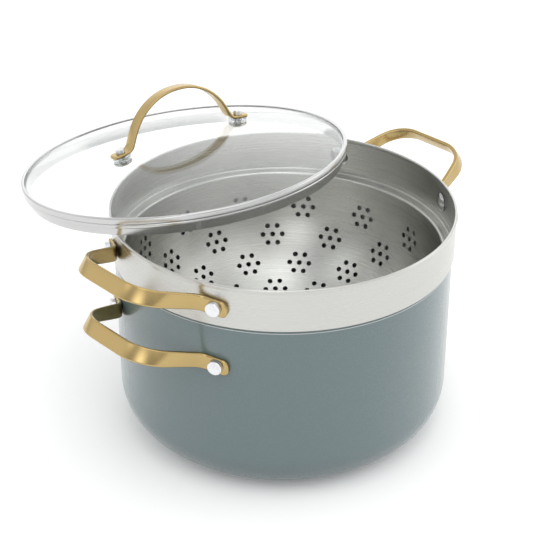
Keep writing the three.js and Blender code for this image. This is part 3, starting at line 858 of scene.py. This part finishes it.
def rim_profile():
    """A lip over the glass, a rolled edge, a groove, a flange under the glass and the skirt."""
    channel_floor = -GLASS_THICKNESS - 2 * GAP
    channel_wall = LID_RADIUS - RIM_SHEET
    lip_inner = LID_RADIUS - LIP_WIDTH
    lip_seat = glass_level(lip_inner) + GAP
    groove_level = -EDGE_DROP - GROOVE_HEIGHT
    flange = LID_RADIUS - FLANGE_INSET
    flange_bottom = channel_floor - FLANGE_HEIGHT
    skirt_inner = SKIRT_RADIUS - RIM_SHEET
    corners = [
        (skirt_inner, -SKIRT_DROP, SKIRT_EASE),
        (SKIRT_RADIUS, -SKIRT_DROP, SKIRT_EASE),
        (SKIRT_RADIUS, flange_bottom, SKIRT_EASE),
        (flange, flange_bottom, FLANGE_EASE),
        (flange, groove_level - FLANGE_INSET, FLANGE_TOP_EASE),
        (LID_RADIUS - GROOVE_DEPTH, groove_level, GROOVE_EASE),
        (LID_RADIUS, -EDGE_DROP, EDGE_EASE),
        (LID_RADIUS, lip_seat + RIM_SHEET, ROLL_BEND),
        (lip_inner, lip_seat + LIP_EDGE, LIP_EASE),
        (lip_inner, lip_seat, LIP_UNDER_EASE),
        (channel_wall, lip_seat, CHANNEL_EASE),
        (channel_wall, channel_floor, CHANNEL_EASE),
        (skirt_inner, channel_floor, CHANNEL_END_EASE),
    ]
    points = [Vector((radius, level)) for radius, level, _ in corners]
    return rounded_loop(points, [bend for _, _, bend in corners], LID_RIM_STEPS)


def arch_mesh():
    """The lid's handle: a strap swept along a foot, a leg, the round top, and the mirror image."""
    seat = 2 * GAP + WASHER_THICKNESS + ARCH_THICKNESS / 2
    outward = Vector((math.cos(RIVET_SLOPE), -math.sin(RIVET_SLOPE)))
    upward = Vector((math.sin(RIVET_SLOPE), math.cos(RIVET_SLOPE)))
    rivet = Vector((RIVET_RADIUS, glass_level(RIVET_RADIUS))) + seat * upward
    inner = rivet - ARCH_FOOT_INSET * outward
    outer = inner + ARCH_FOOT_LENGTH * outward
    lean = ARCH_RISE / math.tan(math.radians(ARCH_LEG_ANGLE))
    half = [outer, inner, Vector((inner.x - lean, inner.y + ARCH_RISE))]
    corners = half + [Vector((-p.x, p.y)) for p in reversed(half)]
    bends = [ARCH_FOOT_BEND, ARCH_TOP_BEND]
    path = divided(beside_line(corners, bends + bends[::-1]), STRAP_STEP)
    loops = []
    for point, left, distance in line_stations(finely_ended(path, ARCH_END_ROUND)):
        half_width = rounded_half(ARCH_WIDTH / 2, ARCH_END_ROUND, distance)
        loop = []
        for across, along_y in section_loop(ARCH_THICKNESS / 2, half_width, ARCH_EDGE):
            spot = point + left * across
            loop.append(Vector((spot.x, -along_y, spot.y)))
        loops.append(loop)
    return swept_mesh("lid_handle", loops)


def washer_mesh(name, bottom):
    """A flat ring round a rivet's shank, with eased edges."""
    inner = SHANK_RADIUS + GAP
    top = bottom + WASHER_THICKNESS
    corners = [
        Vector((inner, bottom)),
        Vector((WASHER_RADIUS, bottom)),
        Vector((WASHER_RADIUS, top)),
        Vector((inner, top)),
    ]
    loop = rounded_loop(corners, [WASHER_EASE] * len(corners))
    return turned_mesh(name, loop, SMALL_TURNS, closed=True)


def make_lid():
    place = lid_matrix()
    place_piece("lid_glass", glass_mesh(), "lid", [GLASS], place)
    rim = turned_mesh("lid_rim", rim_profile(), TURNS, closed=True)
    place_piece("lid_rim", rim, "lid", [POLISHED], place)
    place_piece("lid_handle", arch_mesh(), "lid", [GOLD], place)
    gasket_bottom = -GLASS_THICKNESS - 2 * GAP - WASHER_THICKNESS
    head_seat = 3 * GAP + WASHER_THICKNESS + ARCH_THICKNESS
    grip = head_seat - (gasket_bottom - GAP)
    for end, side in (("a", 1), ("b", -1)):
        seat = place @ fastening_matrix(side)
        washer = washer_mesh(f"lid_washer_{end}", GAP)
        gasket = washer_mesh(f"lid_gasket_{end}", gasket_bottom)
        place_piece(f"lid_washer_{end}", washer, "lid", [SILICONE], seat)
        place_piece(f"lid_gasket_{end}", gasket, "lid", [SILICONE], seat)
        rivet = rivet_mesh(f"lid_rivet_{end}", LID_STUB_RADIUS, LID_DOME_RADIUS, LID_DOME_HEIGHT, grip)
        head = seat @ Matrix.Translation((0, 0, head_seat))
        place_piece(f"lid_rivet_{end}", rivet, "lid", [RIVET], head)


# Studio

def seen_rays(tree):
    """1 for the rays that show the floor: those from the camera, off a gloss or through glass."""
    path = add_node(tree, "ShaderNodeLightPath").outputs
    seen = calculate(tree, "MAXIMUM", path["Is Camera Ray"], path["Is Glossy Ray"])
    return calculate(tree, "MAXIMUM", seen, path["Is Transmission Ray"])


def make_floor():
    """A floor that looks pale, with the object's shadow on it, but throws little light back at the object."""
    size = FLOOR_HALF_SIZE
    corners = [(-size, -size, 0), (size, -size, 0), (size, size, 0), (-size, size, 0)]
    floor = bpy.data.objects.new("floor", mesh_from("floor", corners, [[0, 1, 2, 3]]))
    floor.location.z = -FLOOR_DROP
    bpy.context.scene.collection.objects.link(floor)
    material = bpy.data.materials.new("pale_floor")
    material.use_nodes = True
    tree = material.node_tree
    tree.nodes.clear()
    seen = seen_rays(tree)
    colour = blend_colours(tree, seen, grey(FLOOR_COLOUR), grey(PALE_FLOOR_COLOUR))
    matte = add_node(tree, "ShaderNodeBsdfDiffuse", {"Color": colour})
    lift = calculate(tree, "MULTIPLY", seen, FLOOR_GLOW)
    glow = add_node(tree, "ShaderNodeEmission", {"Strength": lift})
    both = add_node(tree, "ShaderNodeAddShader", {0: matte.outputs[0], 1: glow.outputs[0]})
    add_node(tree, "ShaderNodeOutputMaterial", {"Surface": both.outputs[0]})
    floor.data.materials.append(material)


def make_world():
    """An even sky with soft lights round it."""
    world = bpy.data.worlds.new("studio")
    bpy.context.scene.world = world
    world.use_nodes = True
    tree = world.node_tree
    tree.nodes.clear()
    away = (CAMERA_AIM - CAMERA_PLACE).xy.normalized()
    from_camera = Matrix(((away.y, away.x, 0), (-away.x, away.y, 0), (0, 0, 1)))
    way = add_node(tree, "ShaderNodeTexCoord").outputs["Generated"]
    total = SKY
    for towards, focus, strength in SOFT_LIGHTS:
        middle = from_camera @ Vector(towards).normalized()
        facing = add_node(tree, "ShaderNodeVectorMath", {0: way, 1: middle}, operation="DOT_PRODUCT")
        front = calculate(tree, "MAXIMUM", facing.outputs["Value"], 0)
        glow = calculate(tree, "POWER", front, focus)
        total = calculate(tree, "MULTIPLY_ADD", glow, strength, total)
    sky = add_node(tree, "ShaderNodeBackground", {"Strength": total})
    add_node(tree, "ShaderNodeOutputWorld", {"Surface": sky.outputs[0]})


def make_camera():
    camera = bpy.data.objects.new("camera", bpy.data.cameras.new("camera"))
    camera.data.lens = CAMERA_LENS
    camera.data.sensor_width = SENSOR_WIDTH
    camera.location = CAMERA_PLACE
    camera.rotation_euler = (CAMERA_AIM - CAMERA_PLACE).to_track_quat("-Z", "Y").to_euler()
    bpy.context.scene.collection.objects.link(camera)
    bpy.context.scene.camera = camera


make_camera()
make_pot()
make_handle_pair("pot", POT_RADIUS, POT_WALL)
make_steamer()
make_handle_pair("steamer", BAND_RADIUS, SHEET)
make_lid()
make_floor()
make_world()
bpy.context.scene.view_settings.view_transform = "Standard"
